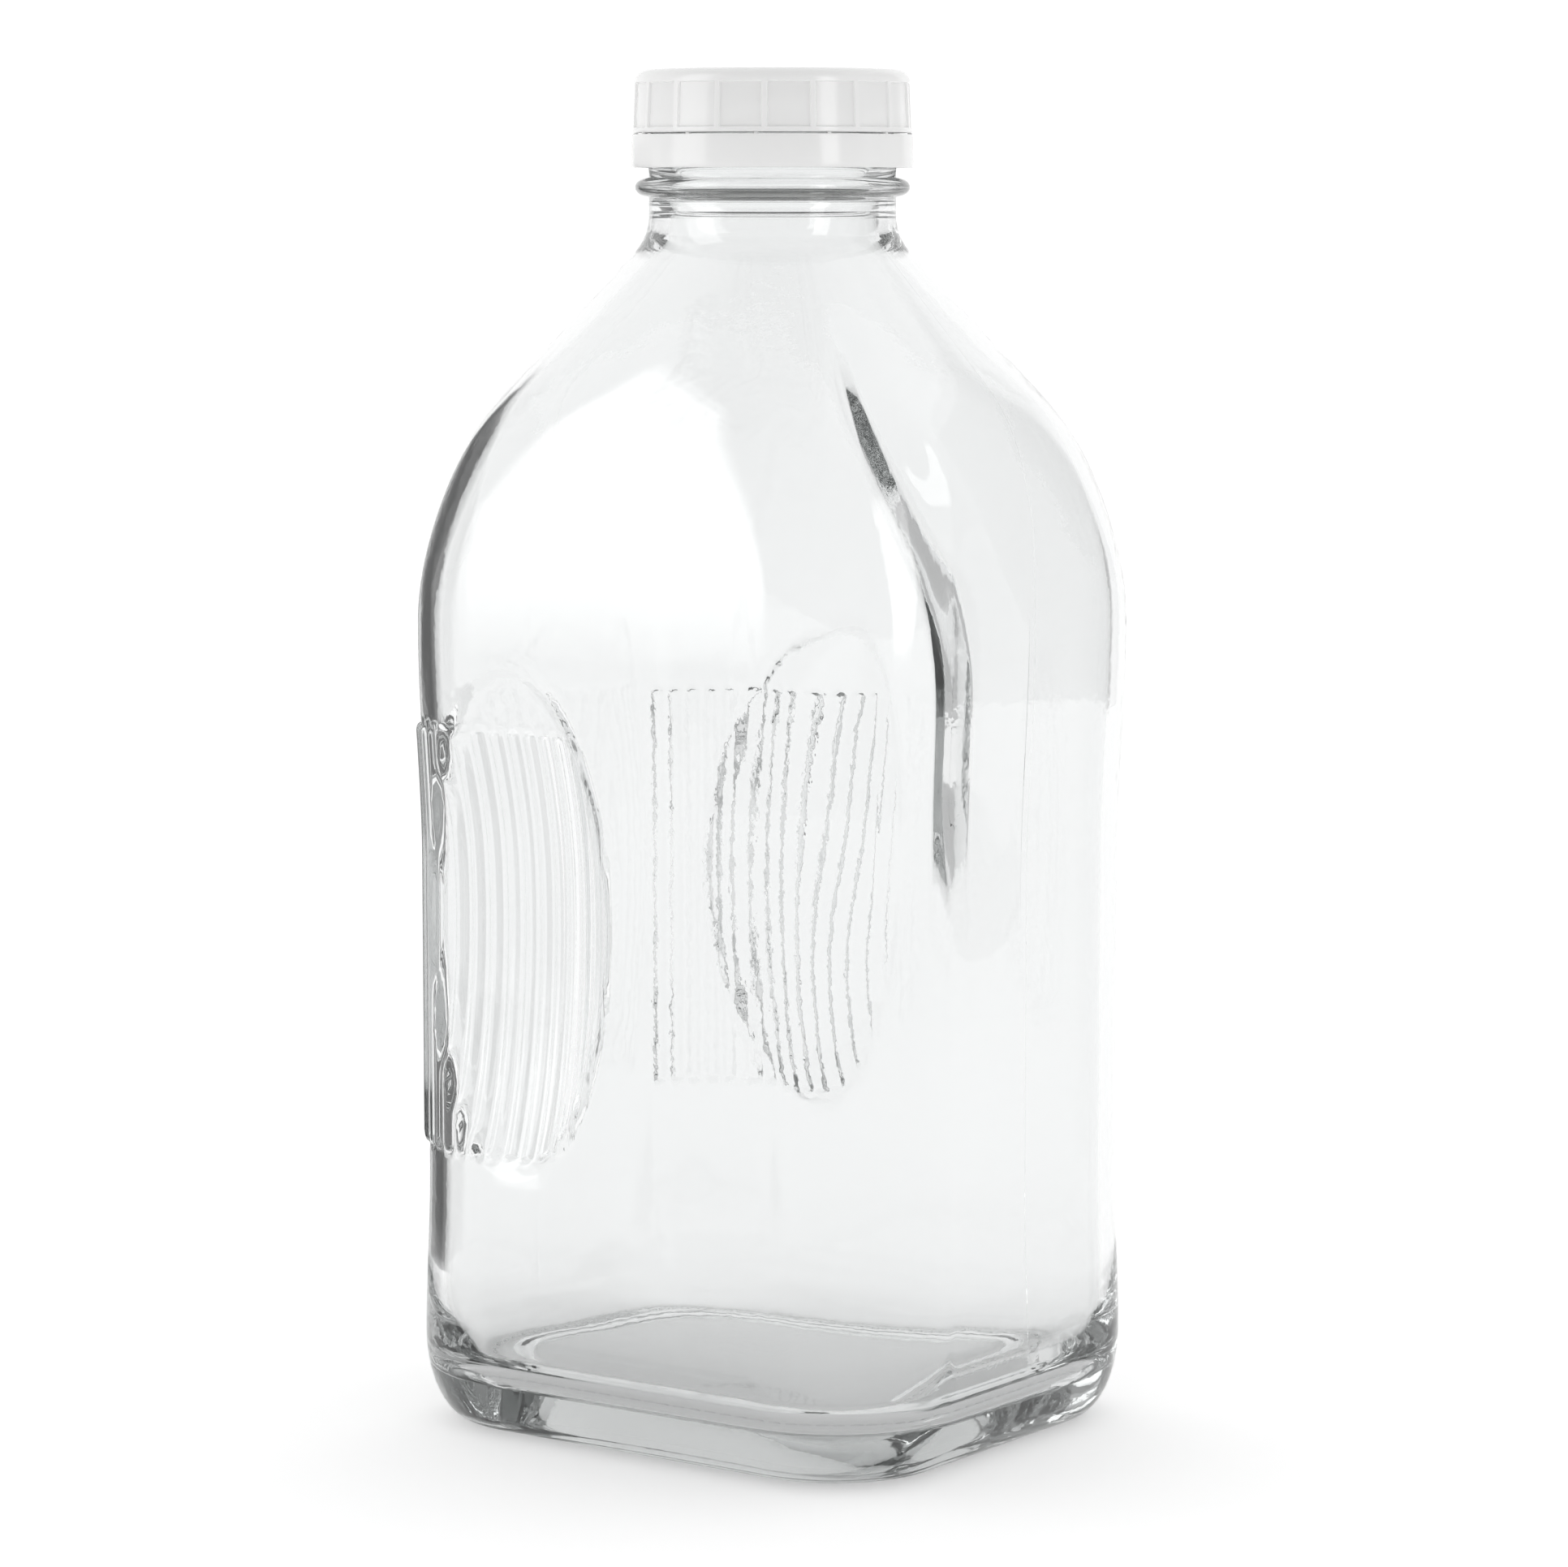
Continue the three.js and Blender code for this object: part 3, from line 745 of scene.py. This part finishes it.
def makeWorld():
    # bright behind the bottle, and less light from the camera's side, with a soft turn between them
    world = bpy.data.worlds.new("paleStudio")
    bpy.context.scene.world = world
    world.use_nodes = True
    nodes, links = world.node_tree.nodes, world.node_tree.links
    light = nodes["Background"]
    light.inputs["Color"].default_value = (1, 1, 1, 1)
    place = nodes.new("ShaderNodeTexCoord")
    side = addNode(nodes, "ShaderNodeVectorMath", operation="DOT_PRODUCT")
    side.inputs[1].default_value = around(studio["azimuth"] + 180, 1, 0)
    level = addNode(nodes, "ShaderNodeMapRange", interpolation_type="SMOOTHSTEP")
    level.inputs["From Min"].default_value = studio["turnFrom"]
    level.inputs["From Max"].default_value = studio["turnTo"]
    level.inputs["To Min"].default_value = studio["cameraSideLight"]
    level.inputs["To Max"].default_value = studio["backLight"]
    seen = nodes.new("ShaderNodeLightPath")
    choose = addNode(nodes, "ShaderNodeMix", data_type="FLOAT")
    choose.inputs["B"].default_value = studio["backLight"]
    links.new(place.outputs["Generated"], side.inputs[0])
    links.new(side.outputs["Value"], level.inputs["Value"])
    links.new(seen.outputs["Is Camera Ray"], choose.inputs["Factor"])
    links.new(level.outputs["Result"], choose.inputs["A"])
    links.new(choose.outputs["Result"], light.inputs["Strength"])


def stageSheet(name, bm, colour, glow):
    mesh = bpy.data.meshes.new(name)
    bm.to_mesh(mesh)
    bm.free()
    sheet = bpy.data.objects.new(name, mesh)
    bpy.context.scene.collection.objects.link(sheet)
    material, nodes, links, shader = newMaterial(name + "Paint")
    shader.inputs["Base Color"].default_value = (colour, colour, colour, 1)
    shader.inputs["Roughness"].default_value = 1.0
    shader.inputs["Specular IOR Level"].default_value = 0.0
    shader.inputs["Emission Color"].default_value = (1, 1, 1, 1)
    shader.inputs["Emission Strength"].default_value = glow
    mesh.materials.append(material)
    return sheet


def around(azimuth, distance, height):
    turn = math.radians(azimuth)
    return Vector((math.sin(turn) * distance, -math.cos(turn) * distance, height))


def makeCard(name, azimuth, distance, width, low, high, glow, sideFade, endFade):
    bm = bmesh.new()
    bmesh.ops.create_grid(bm, x_segments=1, y_segments=1, size=0.5)
    bmesh.ops.scale(bm, verts=bm.verts, vec=(width, high - low, 1))
    bmesh.ops.rotate(bm, verts=bm.verts, cent=(0, 0, 0), matrix=Matrix.Rotation(math.radians(90), 3, "X"))
    bmesh.ops.translate(bm, verts=bm.verts, vec=(0, -distance, (high + low) / 2))
    bmesh.ops.rotate(bm, verts=bm.verts, cent=(0, 0, 0), matrix=turnMatrix(azimuth))
    card = stageSheet(name, bm, 0.0, glow)
    card.visible_camera = False
    card.visible_diffuse = False
    card.visible_shadow = False
    spans = (("X", 0, width / 2, sideFade), ("Z", (low + high) / 2, (high - low) / 2, endFade))
    fadeCard(card.data.materials[0], azimuth, spans)


def fadeCard(material, azimuth, spans):
    # lets the card's edges fade into the studio behind it
    nodes, links = material.node_tree.nodes, material.node_tree.links
    place = nodes.new("ShaderNodeTexCoord")
    turn = addNode(nodes, "ShaderNodeVectorRotate", rotation_type="Z_AXIS", Angle=math.radians(-azimuth))
    axes = nodes.new("ShaderNodeSeparateXYZ")
    links.new(place.outputs["Object"], turn.inputs["Vector"])
    links.new(turn.outputs["Vector"], axes.inputs["Vector"])
    shares = []
    for axis, middle, half, fade in spans:
        off = addNode(nodes, "ShaderNodeMath", operation="SUBTRACT")
        off.inputs[1].default_value = middle
        size = addNode(nodes, "ShaderNodeMath", operation="ABSOLUTE")
        edge = addNode(nodes, "ShaderNodeMapRange", interpolation_type="SMOOTHERSTEP")
        edge.inputs["From Min"].default_value = half
        edge.inputs["From Max"].default_value = half - fade
        links.new(axes.outputs[axis], off.inputs[0])
        links.new(off.outputs["Value"], size.inputs[0])
        links.new(size.outputs["Value"], edge.inputs["Value"])
        shares.append(edge.outputs["Result"])
    # light that has crossed both walls of the bottle sees little of the card
    seen = nodes.new("ShaderNodeLightPath")
    walls = addNode(nodes, "ShaderNodeMapRange")
    walls.inputs["From Min"].default_value = 2
    walls.inputs["From Max"].default_value = 4
    walls.inputs["To Min"].default_value = 1.0
    walls.inputs["To Max"].default_value = studio["throughBottle"]
    links.new(seen.outputs["Transmission Depth"], walls.inputs["Value"])
    shares.append(walls.outputs["Result"])
    whole = shares[0]
    for share in shares[1:]:
        both = addNode(nodes, "ShaderNodeMath", operation="MULTIPLY")
        links.new(whole, both.inputs[0])
        links.new(share, both.inputs[1])
        whole = both.outputs["Value"]
    links.new(whole, nodes["Principled BSDF"].inputs["Alpha"])


def makeStudio():
    makeWorld()
    bm = bmesh.new()
    bmesh.ops.create_grid(bm, x_segments=1, y_segments=1, size=studio["floorSize"] / 2)
    stageSheet("floor", bm, studio["floorColour"], studio["floorGlow"])
    for name, values in cards.items():
        makeCard(name, *values)


def makeCamera():
    data = bpy.data.cameras.new("camera")
    data.lens = studio["lens"]
    data.sensor_width = 36
    camera = bpy.data.objects.new("camera", data)
    bpy.context.scene.collection.objects.link(camera)
    camera.location = around(studio["azimuth"], studio["distance"], studio["height"])
    pitch = math.radians(90 - studio["pitch"])
    camera.rotation_euler = (pitch, 0, math.radians(studio["azimuth"] - studio["yaw"]))
    bpy.context.scene.camera = camera


makeStudio()
makeCamera()
scene = bpy.context.scene
scene.view_settings.view_transform = "Standard"
scene.cycles.max_bounces = 128
scene.cycles.glossy_bounces = 128
scene.cycles.transmission_bounces = 64
print("studio made")
